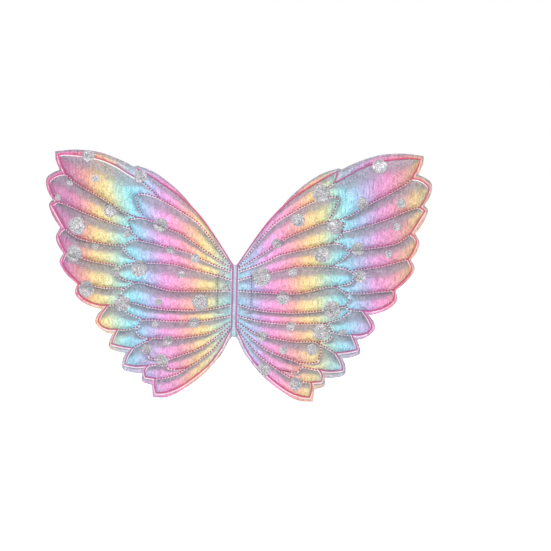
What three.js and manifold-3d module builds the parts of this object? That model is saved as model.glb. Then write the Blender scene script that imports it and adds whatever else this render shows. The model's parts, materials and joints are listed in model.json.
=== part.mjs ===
// Padded fairy wings for a child's costume: a quilted sandwich of shiny face fabric, foam and
// backing, sewn down along feather lines, with a back patch and two elastic shoulder straps.
//
// Millimetres. +Z is up as worn, +X runs along the span, and the decorated face looks towards -Y.
// The origin is the middle of the patch's rear face, the face that lies on the wearer's back.
// Both wings are one half shape, given by its distance out from the spine and its height.

import * as THREE from 'three';
import { mergeVertices } from 'three/addons/utils/BufferGeometryUtils.js';
import Module from 'manifold-3d';

const wasm = await Module();
wasm.setup();

// ---- Driving dimensions ----------------------------------------------------------------------

const GAP = 0.3;                // left between two pieces that touch on the real wings
const REACH = 240;              // larger than any part of a wing, for cutting blanks

const PATCH = { halfWidth: 21, halfHeight: 24, thickness: 1 };
const BACKING = { back: -2.8, thickness: 0.8 };
const FACE = { thickness: 0.8, pinchedBack: -3.9, puffedBack: -8.2 };
const THREAD = { thickness: 0.8, outlineHalf: 1, featherHalf: 0.6, patchHalf: 0.5 };
const SPINE = { half: 2.4, top: 29.4, bottom: -54 };
const FOAM_START = 8;           // the foam stops this far from the spine, so that the wings fold
const PUFF_START = 18;          // beyond this distance the face lies at its full height
const PATCH_SEAM = { x: 19.5, halfHeight: 22.5 };

const STRAP = { width: 15, thickness: 1.2, exitX: 22.3, exitY: -1.9, twistLength: 30 };
const STRAP_TAIL = { start: 8, end: 21.2, z: 13 };

const CUT_STEP = 6;             // spacing of the points along the cut edge
const SEAM_STEP = 8;            // spacing of the points along the feather seams

// ---- The half wing's lines, each point [out from the spine, up] ---------------------------------

// The cut edge, anticlockwise from the top of the spine. A new run starts at each corner.
const CUT_EDGE = [
  [[0, 29.5], [10.5, 38], [25, 60.5], [45, 88], [66.5, 113], [94, 134], [117, 143]],
  [[117, 143], [121, 141.5]],
  [[121, 141.5], [136, 149], [162, 158], [190, 160.5], [214, 158]],
  [[214, 158], [213, 148], [208, 136.5]],
  [[208, 136.5], [218, 132], [224, 125], [222, 112], [215.5, 101.5]],
  [[215.5, 101.5], [220, 95.5], [215, 82], [206, 69]],
  [[206, 69], [211, 58.5], [208, 48], [201.5, 39]],
  [[201.5, 39], [206, 28.5], [197, 14], [185, 3.5]],
  [[185, 3.5], [187, -8], [177, -18], [162, -24], [154.5, -25]],
  [[154.5, -25], [161, -33], [162, -42], [152, -51], [142, -54]],
  [[142, -54], [145, -61], [146, -69.5], [137, -74], [126, -75.5]],
  [[126, -75.5], [129.5, -84], [129, -94], [118, -98], [106, -98.5]],
  [[106, -98.5], [106, -108], [94.5, -112]],
  [[94.5, -112], [93, -126]],
  [[93, -126], [75, -125], [56, -115], [35, -99], [14.5, -75.5], [4.5, -57], [0, -54.5]],
];

// The satin stitch that closes the sandwich, inside the cut edge and back along the spine.
const OUTLINE_SEAM = [
  [[3.9, 30], [26, 64], [42, 85], [61, 104], [80, 118], [101, 131], [116, 139]],
  [[116, 139], [113, 126]],
  [[113, 126], [126, 133], [143, 143], [165, 151], [196, 155], [210, 154]],
  [[210, 154], [207, 144], [201, 132]],
  [[201, 132], [209, 131], [216, 127], [220.5, 121], [217, 110], [211, 99]],
  [[211, 99], [216.5, 95]],
  [[216.5, 95], [211, 86], [205, 76], [200.5, 69]],
  [[200.5, 69], [206, 64], [207.5, 58], [204, 49], [198.5, 40]],
  [[198.5, 40], [202.5, 28], [195, 16], [183, 5]],
  [[183, 5], [183, -7], [172, -16], [157, -20.5], [148, -20]],
  [[148, -20], [155, -30], [158.5, -39], [154, -45], [146, -48], [136, -48]],
  [[136, -48], [140, -57], [142.5, -65]],
  [[142.5, -65], [132, -67.5], [118, -69.5]],
  [[118, -69.5], [124, -79], [126.5, -88.5]],
  [[126.5, -88.5], [113, -90.5], [99, -89]],
  [[99, -89], [103, -95], [102, -102.5]],
  [[102, -102.5], [90.5, -104]],
  [[90.5, -104], [91, -113], [89, -121]],
  [[89, -121], [78, -120], [63, -114], [45, -101.5], [28, -86], [16, -70], [9, -56], [3.9, -43]],
  [[3.9, -43], [3.9, 30]],
];

// The inner row of feathers, the coverts, from the leading edge down. Each is an edge from the
// spine out to the feather's tip, and a lip from the tip back to the next feather's edge.
const COVERTS = [
  { edge: [[4, 27], [41, 74], [67, 92], [83, 101], [96, 107], [108, 110], [118, 109]],
    lip: [[118, 109], [113, 93], [106, 82]] },
  { edge: [[4, 25], [33, 44], [51, 56], [63, 64], [78, 70], [96, 78], [111, 82], [125, 80]],
    lip: [[125, 80], [121, 66], [109, 55]] },
  { edge: [[4, 22], [21, 28], [38, 35], [52, 42], [80, 49], [112, 56], [124, 54], [131, 46]],
    lip: [[131, 46], [122, 37], [110, 29]] },
  { edge: [[4, 12], [21, 17], [56, 25], [73, 29], [101, 30], [126, 28], [139, 20]],
    lip: [[139, 20], [132, 11], [113, 7]] },
  { edge: [[4, 0], [21, -1], [60, -2], [77, -1], [94, 3], [113, 7], [126, 1], [133, -7]],
    lip: [[133, -7], [129, -14], [117, -17]] },
  { edge: [[4, -16], [29, -22], [60, -24], [94, -22], [117, -17], [128, -16], [134, -21]],
    lip: [[134, -21], [121, -30], [103, -36]] },
  { edge: [[4, -29], [33, -35], [69, -37], [104, -36], [111, -42], [113, -51]],
    lip: [[113, -51], [107, -56], [94, -57]] },
  { edge: [[4, -36], [16, -44], [33, -51], [69, -57], [94, -57], [101, -66], [98, -80]],
    lip: [[98, -80], [86, -82], [72, -80]] },
  { edge: [[4, -41], [21, -55], [40, -68], [61, -76], [72, -80], [79, -85], [75, -92]],
    lip: [[75, -92], [68, -93], [58, -91]] },
];

// The lines between the outer feathers, each from the outline seam in to the coverts.
const FEATHER_LINES = [
  [[113, 126], [103, 118], [88, 104]],
  [[201, 132], [187, 121], [158, 105], [128, 87], [106, 81]],
  [[211, 99], [201, 97], [172, 85], [143, 75], [121, 69]],
  [[200.5, 69], [185, 58], [158, 52], [129, 49.5]],
  [[198.5, 40], [178, 34], [162, 30], [133, 25.5]],
  [[183, 4], [164, 2], [150, 0], [127, 0]],
  [[148, -20], [139, -20], [129, -17.5]],
  [[138, -48], [125, -48], [110, -44]],
  [[118, -69.5], [106, -63], [95, -57]],
  [[101, -89.5], [90, -88], [78, -86]],
  [[92, -104], [80, -103], [65, -98], [51, -89]],
  [[66, -93], [51, -89], [35, -78], [21, -66], [3.9, -44]],
];

// A strap's loop hangs outwards and down behind its wing, from its upper end to its lower end.
const STRAP_LOOP = [
  [22.3, 13], [36, 13], [62, 12.5], [90, 3], [113, -21], [124, -52], [115, -75], [92, -80],
  [68, -63], [50, -38], [40, -20], [34, -13], [22.3, -13],
];

// ---- Materials ---------------------------------------------------------------------------------

function material(colour, roughness, metalness) {
  return new THREE.MeshStandardMaterial({ color: colour, roughness, metalness });
}

const LEFT_FACE_LOOK = material('#e9bcd6', 0.35, 0.5);
const RIGHT_FACE_LOOK = material('#dcbfe6', 0.35, 0.5);
const SPINE_LOOK = material('#bfe0ee', 0.35, 0.5);
const FOAM_LOOK = material('#f4f1ec', 0.9, 0);
const BACKING_LOOK = material('#f2eff0', 0.9, 0);
const THREAD_LOOK = material('#c83c78', 0.5, 0);
const ELASTIC_LOOK = material('#f5f5f5', 0.8, 0);

// ---- Solids ------------------------------------------------------------------------------------

// A closed geometry as a solid that can be cut and joined.
function solidOf(geometry) {
  const bare = geometry.index ? geometry.toNonIndexed() : geometry.clone();
  bare.deleteAttribute('normal');
  bare.deleteAttribute('uv');
  const merged = mergeVertices(bare, 1e-4);
  const triVerts = Uint32Array.from(merged.index.array);
  const vertProperties = Float32Array.from(merged.attributes.position.array);
  return new wasm.Manifold(new wasm.Mesh({ numProp: 3, vertProperties, triVerts }));
}

function geometryOf(solid) {
  const mesh = solid.getMesh();
  const geometry = new THREE.BufferGeometry();
  geometry.setAttribute('position', new THREE.BufferAttribute(mesh.vertProperties, 3));
  geometry.setIndex(new THREE.BufferAttribute(mesh.triVerts, 1));
  geometry.computeVertexNormals();
  return geometry;
}

// A shape drawn in X and Z, as a prism that runs through every layer.
function layerPrism(shape) {
  const geometry = new THREE.ExtrudeGeometry(shape, { depth: REACH, bevelEnabled: false });
  geometry.rotateX(Math.PI / 2);
  geometry.translate(0, REACH / 2, 0);
  return solidOf(geometry);
}

// A layer's section drawn in X and Y, as a bar that runs the whole height of the wings.
function sectionBar(points) {
  const shape = new THREE.Shape(points.map(([x, y]) => new THREE.Vector2(x, y)));
  const geometry = new THREE.ExtrudeGeometry(shape, { depth: 2 * REACH, bevelEnabled: false });
  geometry.translate(0, 0, -REACH);
  return solidOf(geometry);
}

// ---- Lines -------------------------------------------------------------------------------------

// A smooth line through the points of one run, on one side of the spine.
function sampleRun(run, step, side) {
  const curve = new THREE.SplineCurve(run.map(([out, up]) => new THREE.Vector2(side * out, up)));
  const count = run.length === 2 ? 1 : Math.max(2, Math.round(curve.getLength() / step));
  return curve.getSpacedPoints(count);
}

// Several runs end to end, closed, without their doubled corners.
function sampleLoop(runs, step, side) {
  return runs.flatMap((run) => sampleRun(run, step, side).slice(0, -1));
}

// The line's own points moved sideways, with mitred corners.
function offsetLine(points, distance, closed) {
  const last = points.length - 1;
  return points.map((point, i) => {
    const before = points[i > 0 ? i - 1 : (closed ? last : 0)];
    const after = points[i < last ? i + 1 : (closed ? 0 : last)];
    const inward = (before === point ? after.clone().sub(point) : point.clone().sub(before)).normalize();
    const onward = (after === point ? inward.clone() : after.clone().sub(point)).normalize();
    const middle = inward.clone().add(onward).normalize();
    const normal = new THREE.Vector2(-middle.y, middle.x);
    const reach = distance / Math.max(0.3, Math.abs(middle.dot(onward)));
    return point.clone().addScaledVector(normal, reach);
  });
}

// A flat band of thread along an open line.
function threadBand(run, halfWidth, side) {
  const points = sampleRun(run, SEAM_STEP, side);
  const left = offsetLine(points, halfWidth, false);
  const right = offsetLine(points, -halfWidth, false);
  return layerPrism(new THREE.Shape([...left, ...right.reverse()]));
}

// A band of thread around a closed loop.
function threadLoop(runs, halfWidth, side) {
  const points = sampleLoop(runs, CUT_STEP, side);
  const left = layerPrism(new THREE.Shape(offsetLine(points, halfWidth, true)));
  const right = layerPrism(new THREE.Shape(offsetLine(points, -halfWidth, true)));
  return left.volume() > right.volume() ? left.subtract(right) : right.subtract(left);
}

// ---- The quilted sandwich -----------------------------------------------------------------------

// The section of a skin that is pinched flat at the spine and rises over the foam.
function puffedSection(side, lift, thickness) {
  const start = SPINE.half + GAP;
  const pinched = FACE.pinchedBack - lift;
  const puffed = FACE.puffedBack - lift;
  return [
    [side * start, pinched],
    [side * PUFF_START, puffed],
    [side * REACH, puffed],
    [side * REACH, puffed - thickness],
    [side * PUFF_START, puffed - thickness],
    [side * start, pinched - thickness],
  ];
}

function wingPrism(side) {
  return layerPrism(new THREE.Shape(sampleLoop(CUT_EDGE, CUT_STEP, side)));
}

function wingFace(side) {
  return wingPrism(side).intersect(sectionBar(puffedSection(side, 0, FACE.thickness)));
}

// The foam fills the space between the backing and the face, inside the outline seam.
function wingFoam(side) {
  const slope = (FACE.puffedBack - FACE.pinchedBack) / (PUFF_START - SPINE.half - GAP);
  const thinFront = FACE.pinchedBack + slope * (FOAM_START - SPINE.half - GAP) + GAP;
  const back = BACKING.back - BACKING.thickness - GAP;
  const section = [
    [side * FOAM_START, back],
    [side * FOAM_START, thinFront],
    [side * PUFF_START, FACE.puffedBack + GAP],
    [side * REACH, FACE.puffedBack + GAP],
    [side * REACH, back],
  ];
  const inside = layerPrism(new THREE.Shape(sampleLoop(OUTLINE_SEAM, CUT_STEP, side)));
  return inside.intersect(sectionBar(section));
}

function wingBacking(side) {
  const start = SPINE.half + GAP;
  const section = [
    [side * start, BACKING.back],
    [side * REACH, BACKING.back],
    [side * REACH, BACKING.back - BACKING.thickness],
    [side * start, BACKING.back - BACKING.thickness],
  ];
  return wingPrism(side).intersect(sectionBar(section));
}

// ---- Thread -------------------------------------------------------------------------------------

function threadSection(side) {
  return sectionBar(puffedSection(side, FACE.thickness + GAP, THREAD.thickness));
}

function outlineStitching(side) {
  return threadLoop(OUTLINE_SEAM, THREAD.outlineHalf, side).intersect(threadSection(side));
}

// Every feather line of a wing. The lines cross, so they make one net of thread.
function featherStitching(side) {
  const runs = COVERTS.flatMap(({ edge, lip }) => [edge, lip]).concat(FEATHER_LINES);
  const net = runs
    .map((run) => threadBand(run, THREAD.featherHalf, side))
    .reduce((joined, band) => joined.add(band));
  const clearOfOutline = threadLoop(OUTLINE_SEAM, THREAD.outlineHalf + GAP, side);
  return net.subtract(clearOfOutline).intersect(threadSection(side));
}

// The seam that holds one side of the patch. Its thread crosses over the feather lines.
function patchStitching(side) {
  const front = FACE.puffedBack - FACE.thickness - THREAD.thickness - 2 * GAP;
  const geometry = new THREE.BoxGeometry(
    2 * THREAD.patchHalf, THREAD.thickness, 2 * PATCH_SEAM.halfHeight);
  geometry.translate(side * PATCH_SEAM.x, front - THREAD.thickness / 2, 0);
  return geometry;
}

// ---- Spine, patch and straps ---------------------------------------------------------------------

// The channel of fabric between the two spine seams, where the wings fold.
function spineStrip(back, thickness) {
  const height = SPINE.top - SPINE.bottom;
  const geometry = new THREE.BoxGeometry(2 * SPINE.half, thickness, height);
  geometry.translate(0, back - thickness / 2, SPINE.bottom + height / 2);
  return geometry;
}

function backPatch() {
  const geometry = new THREE.BoxGeometry(
    2 * PATCH.halfWidth, PATCH.thickness, 2 * PATCH.halfHeight);
  geometry.translate(0, -PATCH.thickness / 2, 0);
  return geometry;
}

// One sewn end of a strap, flat between the backing and the patch.
function strapTail(side, level) {
  const length = STRAP_TAIL.end - STRAP_TAIL.start;
  const geometry = new THREE.BoxGeometry(length, STRAP.thickness, STRAP.width);
  geometry.translate(side * (STRAP_TAIL.start + length / 2), STRAP.exitY, level * STRAP_TAIL.z);
  return geometry;
}

// How far the strap has turned onto its edge, from 0 where it is sewn to a quarter turn.
function strapTwist(distance, length) {
  const fromEnd = Math.min(distance, length - distance);
  return (Math.PI / 2) * THREE.MathUtils.smoothstep(fromEnd, 0, STRAP.twistLength);
}

// A strap leaves the patch flat, turns onto its edge, loops, and turns flat again.
function strapLoop(side) {
  const curve = new THREE.SplineCurve(STRAP_LOOP.map(([out, up]) => new THREE.Vector2(out, up)));
  const length = curve.getLength();
  const stations = 56;
  const positions = [];
  const indices = [];
  for (let i = 0; i <= stations; i += 1) {
    const point = curve.getPointAt(i / stations);
    const tangent = curve.getTangentAt(i / stations);
    const twist = strapTwist((i / stations) * length, length);
    const sideways = new THREE.Vector3(-tangent.y, 0, tangent.x);
    const wide = sideways.clone().multiplyScalar(Math.cos(twist));
    wide.y += Math.sin(twist);
    const thin = sideways.clone().multiplyScalar(Math.sin(twist));
    thin.y -= Math.cos(twist);
    const rise = STRAP.exitY + (STRAP.width / 2) * Math.sin(twist);
    const centre = new THREE.Vector3(point.x, rise, point.y);
    for (const [u, v] of [[-1, -1], [1, -1], [1, 1], [-1, 1]]) {
      const corner = centre.clone();
      corner.addScaledVector(wide, (u * STRAP.width) / 2);
      corner.addScaledVector(thin, (v * STRAP.thickness) / 2);
      positions.push(side * corner.x, corner.y, corner.z);
    }
  }
  const addQuad = (a, b, c, d) => {
    indices.push(...(side > 0 ? [a, b, c, a, c, d] : [a, c, b, a, d, c]));
  };
  for (let i = 0; i < stations; i += 1) {
    for (let k = 0; k < 4; k += 1) {
      const next = (k + 1) % 4;
      addQuad(4 * i + k, 4 * i + next, 4 * i + 4 + next, 4 * i + 4 + k);
    }
  }
  addQuad(3, 2, 1, 0);
  addQuad(4 * stations, 4 * stations + 1, 4 * stations + 2, 4 * stations + 3);
  const geometry = new THREE.BufferGeometry();
  geometry.setAttribute('position', new THREE.Float32BufferAttribute(positions, 3));
  geometry.setIndex(indices);
  geometry.computeVertexNormals();
  return geometry;
}

// ---- Assembly ------------------------------------------------------------------------------------

function named(name, geometry, look) {
  const mesh = new THREE.Mesh(geometry, look);
  mesh.name = name;
  return mesh;
}

function wing(name, side, faceLook) {
  const group = new THREE.Group();
  group.add(named(`${name}_face`, geometryOf(wingFace(side)), faceLook));
  group.add(named(`${name}_foam`, geometryOf(wingFoam(side)), FOAM_LOOK));
  group.add(named(`${name}_backing`, geometryOf(wingBacking(side)), BACKING_LOOK));
  group.add(named(`${name}_outline_stitching`, geometryOf(outlineStitching(side)), THREAD_LOOK));
  group.add(named(`${name}_feather_stitching`, geometryOf(featherStitching(side)), THREAD_LOOK));
  group.add(named(`${name}_patch_stitching`, patchStitching(side), THREAD_LOOK));
  group.add(named(`${name}_strap_upper_tail`, strapTail(side, 1), ELASTIC_LOOK));
  group.add(named(`${name}_strap_lower_tail`, strapTail(side, -1), ELASTIC_LOOK));
  group.add(named(`${name}_strap`, strapLoop(side), ELASTIC_LOOK));
  return group;
}

const fairyWings = new THREE.Group();
fairyWings.add(named('back_patch', backPatch(), BACKING_LOOK));
fairyWings.add(named('spine_face', spineStrip(FACE.pinchedBack, FACE.thickness), SPINE_LOOK));
fairyWings.add(named('spine_backing', spineStrip(BACKING.back, BACKING.thickness), BACKING_LOOK));
fairyWings.add(wing('left', -1, LEFT_FACE_LOOK));
fairyWings.add(wing('right', 1, RIGHT_FACE_LOOK));

export default fairyWings;
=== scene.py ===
"""Padded, quilted fairy wings with a rainbow print, pink feather stitching and glitter dots.

Shapes are in millimetres and are turned into metres where a mesh is made. The materials, the
camera and the lights are in metres. Both wings share one half shape, given by its distance out
from the spine and its height.
"""
import json
import math
from functools import cache

import bmesh
import bpy
import numpy as np
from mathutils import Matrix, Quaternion, Vector, kdtree
from mathutils.bvhtree import BVHTree
from mathutils.geometry import delaunay_2d_cdt


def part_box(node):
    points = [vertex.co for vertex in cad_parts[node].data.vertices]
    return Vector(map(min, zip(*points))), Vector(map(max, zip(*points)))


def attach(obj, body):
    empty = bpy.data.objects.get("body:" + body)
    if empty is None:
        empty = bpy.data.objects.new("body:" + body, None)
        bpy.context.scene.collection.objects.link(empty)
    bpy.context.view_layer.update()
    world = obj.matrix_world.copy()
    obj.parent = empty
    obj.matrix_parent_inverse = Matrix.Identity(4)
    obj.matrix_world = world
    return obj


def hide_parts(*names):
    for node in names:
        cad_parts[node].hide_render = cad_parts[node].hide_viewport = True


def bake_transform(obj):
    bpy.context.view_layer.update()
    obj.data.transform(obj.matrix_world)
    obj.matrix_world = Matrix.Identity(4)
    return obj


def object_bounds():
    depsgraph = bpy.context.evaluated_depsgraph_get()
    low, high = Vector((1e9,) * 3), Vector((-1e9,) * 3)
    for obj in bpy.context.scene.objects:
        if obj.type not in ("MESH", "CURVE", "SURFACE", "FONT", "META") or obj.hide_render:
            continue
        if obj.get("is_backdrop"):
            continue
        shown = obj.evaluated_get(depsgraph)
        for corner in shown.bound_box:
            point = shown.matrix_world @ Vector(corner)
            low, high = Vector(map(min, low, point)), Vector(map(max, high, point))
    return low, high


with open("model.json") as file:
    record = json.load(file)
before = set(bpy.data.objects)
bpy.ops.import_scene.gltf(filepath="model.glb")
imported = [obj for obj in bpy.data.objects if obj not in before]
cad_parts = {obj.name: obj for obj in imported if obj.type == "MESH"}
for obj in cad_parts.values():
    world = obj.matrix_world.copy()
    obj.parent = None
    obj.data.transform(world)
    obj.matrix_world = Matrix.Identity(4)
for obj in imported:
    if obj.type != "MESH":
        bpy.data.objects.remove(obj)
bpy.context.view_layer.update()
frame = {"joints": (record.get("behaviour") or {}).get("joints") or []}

MM = 0.001
SIDES = {"left": -1, "right": 1}

# ---- Levels and places taken from the frame ----


def coordinate(node, corner, axis):
    """One coordinate of a CAD node's box, in millimetres. corner is 0 for low and 1 for high."""
    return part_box(node)[corner][axis] / MM


JOINTS = {joint["name"]: joint for joint in frame["joints"]}
HINGE_X = abs(JOINTS["left_wing_fold"]["pos_m"][0]) / MM
HINGE_Y = JOINTS["left_wing_fold"]["pos_m"][1] / MM
PATCH_BACK = coordinate("back_patch", 1, 1)
PATCH_FRONT = coordinate("back_patch", 0, 1)
PATCH_TOP = coordinate("back_patch", 1, 2)
PATCH_SIDE = coordinate("back_patch", 1, 0)
BACKING_BACK = coordinate("left_backing", 1, 1)
BACKING_FRONT = coordinate("left_backing", 0, 1)

SEAM_LEVEL = HINGE_Y - 0.2  # the front of the face where it is stitched down
FOAM_BACK = BACKING_FRONT - 0.1
FABRIC_THICKNESS = 0.3

# ---- The half wing's lines, as in the CAD part: each point is (out from the spine, up) ----

SPINE_SEAM_X = HINGE_X + 0.3

CUT_EDGE = [
    [(0, 29.5), (10.5, 38), (25, 60.5), (45, 88), (66.5, 113), (94, 134), (117, 143)],
    [(117, 143), (121, 141.5)],
    [(121, 141.5), (136, 149), (162, 158), (190, 160.5), (214, 158)],
    [(214, 158), (213, 148), (208, 136.5)],
    [(208, 136.5), (218, 132), (224, 125), (222, 112), (215.5, 101.5)],
    [(215.5, 101.5), (220, 95.5), (215, 82), (206, 69)],
    [(206, 69), (211, 58.5), (208, 48), (201.5, 39)],
    [(201.5, 39), (206, 28.5), (197, 14), (185, 3.5)],
    [(185, 3.5), (187, -8), (177, -18), (162, -24), (154.5, -25)],
    [(154.5, -25), (161, -33), (162, -42), (152, -51), (142, -54)],
    [(142, -54), (145, -61), (146, -69.5), (137, -74), (126, -75.5)],
    [(126, -75.5), (129.5, -84), (129, -94), (118, -98), (106, -98.5)],
    [(106, -98.5), (106, -108), (94.5, -112)],
    [(94.5, -112), (93, -126)],
    [(93, -126), (75, -125), (56, -115), (35, -99), (14.5, -75.5), (4.5, -57), (0, -54.5)],
]

OUTLINE_SEAM = [
    [(SPINE_SEAM_X, 29), (26, 64), (42, 85), (61, 104), (80, 118), (101, 131), (116, 139)],
    [(116, 139), (113, 126)],
    [(113, 126), (126, 133), (143, 143), (165, 151), (196, 155), (210, 154)],
    [(210, 154), (207, 144), (201, 132)],
    [(201, 132), (209, 131), (216, 127), (220.5, 121), (217, 110), (211, 99)],
    [(211, 99), (216.5, 95)],
    [(216.5, 95), (211, 86), (205, 76), (200.5, 69)],
    [(200.5, 69), (206, 64), (207.5, 58), (204, 49), (198.5, 40)],
    [(198.5, 40), (202.5, 28), (195, 16), (183, 5)],
    [(183, 5), (183, -7), (172, -16), (157, -20.5), (148, -20)],
    [(148, -20), (155, -30), (158.5, -39), (154, -45), (146, -48), (136, -48)],
    [(136, -48), (140, -57), (142.5, -65)],
    [(142.5, -65), (132, -67.5), (118, -69.5)],
    [(118, -69.5), (124, -79), (126.5, -88.5)],
    [(126.5, -88.5), (113, -90.5), (99, -89)],
    [(99, -89), (103, -95), (102, -102.5)],
    [(102, -102.5), (90.5, -104)],
    [(90.5, -104), (91, -113), (89, -121)],
    [(89, -121), (78, -120), (63, -114), (45, -101.5), (28, -86), (16, -70), (9, -56),
     (SPINE_SEAM_X, -43)],
    [(SPINE_SEAM_X, -43), (SPINE_SEAM_X, 29)],
]

# Each inner feather, or covert, is an edge from the spine to its tip and a lip back from the tip.
COVERTS = [
    ([(4, 27), (41, 74), (67, 92), (83, 101), (96, 107), (108, 110), (118, 109)],
     [(118, 109), (113, 93), (106, 82)]),
    ([(4, 25), (33, 44), (51, 56), (63, 64), (78, 70), (96, 78), (111, 82), (125, 80)],
     [(125, 80), (121, 66), (109, 55)]),
    ([(4, 22), (21, 28), (38, 35), (52, 42), (80, 49), (112, 56), (124, 54), (131, 46)],
     [(131, 46), (122, 37), (110, 29)]),
    ([(4, 12), (21, 17), (56, 25), (73, 29), (101, 30), (126, 28), (139, 20)],
     [(139, 20), (132, 11), (113, 7)]),
    ([(4, 0), (21, -1), (60, -2), (77, -1), (94, 3), (113, 7), (126, 1), (133, -7)],
     [(133, -7), (129, -14), (117, -17)]),
    ([(4, -16), (29, -22), (60, -24), (94, -22), (117, -17), (128, -16), (134, -21)],
     [(134, -21), (121, -30), (103, -36)]),
    ([(4, -29), (33, -35), (69, -37), (104, -36), (111, -42), (113, -51)],
     [(113, -51), (107, -56), (94, -57)]),
    ([(4, -36), (16, -44), (33, -51), (69, -57), (94, -57), (101, -66), (98, -80)],
     [(98, -80), (86, -82), (72, -80)]),
    ([(4, -41), (21, -55), (40, -68), (61, -76), (72, -80), (79, -85), (75, -92)],
     [(75, -92), (68, -93), (58, -91)]),
]

# The lines between the outer feathers, from the outline seam in to the coverts.
FEATHER_LINES = [
    [(113, 126), (103, 118), (88, 104)],
    [(201, 132), (187, 121), (158, 105), (128, 87), (106, 81)],
    [(211, 99), (201, 97), (172, 85), (143, 75), (121, 69)],
    [(200.5, 69), (185, 58), (158, 52), (129, 49.5)],
    [(198.5, 40), (178, 34), (162, 30), (133, 25.5)],
    [(183, 4), (164, 2), (150, 0), (127, 0)],
    [(148, -20), (139, -20), (129, -17.5)],
    [(138, -48), (125, -48), (110, -44)],
    [(118, -69.5), (106, -63), (95, -57)],
    [(101, -89.5), (90, -88), (78, -86)],
    [(92, -104), (80, -103), (65, -98), (51, -89)],
    [(66, -93), (51, -89), (35, -78), (21, -66), (4, -44)],
]

PATCH_SEAM = [(19.5, 19), (19.5, -24)]


def lengths_along(line):
    """How far along a line each of its points is."""
    return np.concatenate([[0], np.cumsum(np.linalg.norm(np.diff(line, axis=0), axis=1))])


def resampled(line, step):
    """The same line with evenly spaced points."""
    along = lengths_along(line)
    at = np.linspace(0, along[-1], max(2, round(along[-1] / step) + 1))
    return np.column_stack([np.interp(at, along, line[:, k]) for k in (0, 1)])


def smooth_line(points, step):
    """Evenly spaced points along a smooth curve through the given ones."""
    knots = np.array(points, float)
    if len(knots) == 2:
        return resampled(np.linspace(knots[0], knots[1], 50), step)
    padded = np.vstack([knots[0], knots, knots[-1]])
    t = np.linspace(0, 1, 24, endpoint=False)[:, None]
    spans = []
    for p0, p1, p2, p3 in zip(padded, padded[1:], padded[2:], padded[3:]):
        v0 = (p2 - p0) / 2
        v1 = (p3 - p1) / 2
        cubic = (2 * p1 - 2 * p2 + v0 + v1) * t**3
        square = (3 * p2 - 3 * p1 - 2 * v0 - v1) * t**2
        spans.append(cubic + square + v0 * t + p1)
    return resampled(np.vstack(spans + [knots[-1:]]), step)


def directions(line, closed=False):
    """A line's direction at each of its points."""
    if closed:
        along = np.roll(line, -1, axis=0) - np.roll(line, 1, axis=0)
    else:
        along = np.gradient(line, axis=0)
    return along / np.linalg.norm(along, axis=1)[:, None]


def beside(line, distance):
    """A line that runs beside another, to its left if distance is positive."""
    along = directions(line)
    return line + distance * np.column_stack([-along[:, 1], along[:, 0]])


def smooth_loop(runs, step):
    """Several runs end to end as one closed line, without their doubled corners."""
    return np.vstack([smooth_line(run, step)[:-1] for run in runs])


def rejoined(loop):
    """A closed loop as a line that ends where it starts."""
    return np.vstack([loop, loop[:1]])


# ---- Flat meshes over the lines ----

LINE_STEP = 1.5  # spacing of mesh points along a line
FACE_SPACING = 1.9  # spacing of mesh points between the lines


def wing_edge(step):
    """The cut edge of one wing, closed along the spine channel."""
    edge = smooth_loop(CUT_EDGE, step)
    outside = edge[edge[:, 0] > HINGE_X + 0.4]
    top = (HINGE_X, outside[0, 1] - 1.2)
    bottom = (HINGE_X, outside[-1, 1] + 1.2)
    spine = smooth_line([bottom, top], step)
    return np.vstack([outside, spine])


def feather_seams(step):
    """Every open seam line of a wing, apart from the outline."""
    seams = [smooth_line(part, step) for covert in COVERTS for part in covert]
    return seams + [smooth_line(line, step) for line in FEATHER_LINES]


def inside_loop(points, loop):
    """True for each point inside the closed loop."""
    x, z = points[:, 0, None], points[:, 1, None]
    ax, az = loop[:, 0], loop[:, 1]
    bx, bz = np.roll(ax, -1), np.roll(az, -1)
    crosses = (az > z) != (bz > z)
    with np.errstate(divide="ignore", invalid="ignore"):
        at = ax + (z - az) * (bx - ax) / (bz - az)
    return (np.sum(crosses & (x < at), axis=1) % 2) == 1


def nearest_distances(points, targets):
    """Each point's distance to the nearest target."""
    tree = kdtree.KDTree(len(targets))
    for i, (x, z) in enumerate(targets):
        tree.insert((x, z, 0), i)
    tree.balance()
    return np.array([tree.find((x, z, 0))[2] for x, z in points])


def closeness(points, line, reach):
    """1 for the points on a line, falling to 0 over a few times reach."""
    return np.exp(-(nearest_distances(points, line) / reach) ** 2)


def flat_mesh(loop, lines, spacing):
    """Triangles that fill the loop, with an edge along every line.

    Returns the points, the triangles, and for each point True if it lies on one of the lines.
    """
    given = [loop] + lines
    points = np.vstack(given)
    edges = []
    start = 0
    for k, line in enumerate(given):
        count = len(line)
        edges += [(start + i, start + i + 1) for i in range(count - 1)]
        if k == 0:
            edges.append((start + count - 1, start))
        start += count
    low, high = loop.min(axis=0), loop.max(axis=0)
    rows = np.arange(low[1], high[1], spacing * math.sqrt(3) / 2)
    grid = [
        (x + (r % 2) * spacing / 2, z)
        for r, z in enumerate(rows)
        for x in np.arange(low[0], high[0], spacing)
    ]
    grid = np.array(grid)
    grid = grid[inside_loop(grid, loop)]
    grid = grid[nearest_distances(grid, points) > 0.6 * spacing]
    everything = [Vector(p) for p in np.vstack([points, grid])]
    out = delaunay_2d_cdt(everything, edges, [], 0, 1e-4)
    flat = np.array([tuple(v) for v in out[0]])
    triangles = np.array(out[2])
    middles = flat[triangles].mean(axis=1)
    triangles = triangles[inside_loop(middles, loop)]
    first_line = len(loop)
    on_line = np.array([
        not came_from or any(first_line <= i < len(points) for i in came_from)
        for came_from in out[3]
    ])
    used = np.unique(triangles)
    renumber = np.full(len(flat), -1)
    renumber[used] = np.arange(len(used))
    return flat[used], renumber[triangles], on_line[used]


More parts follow.
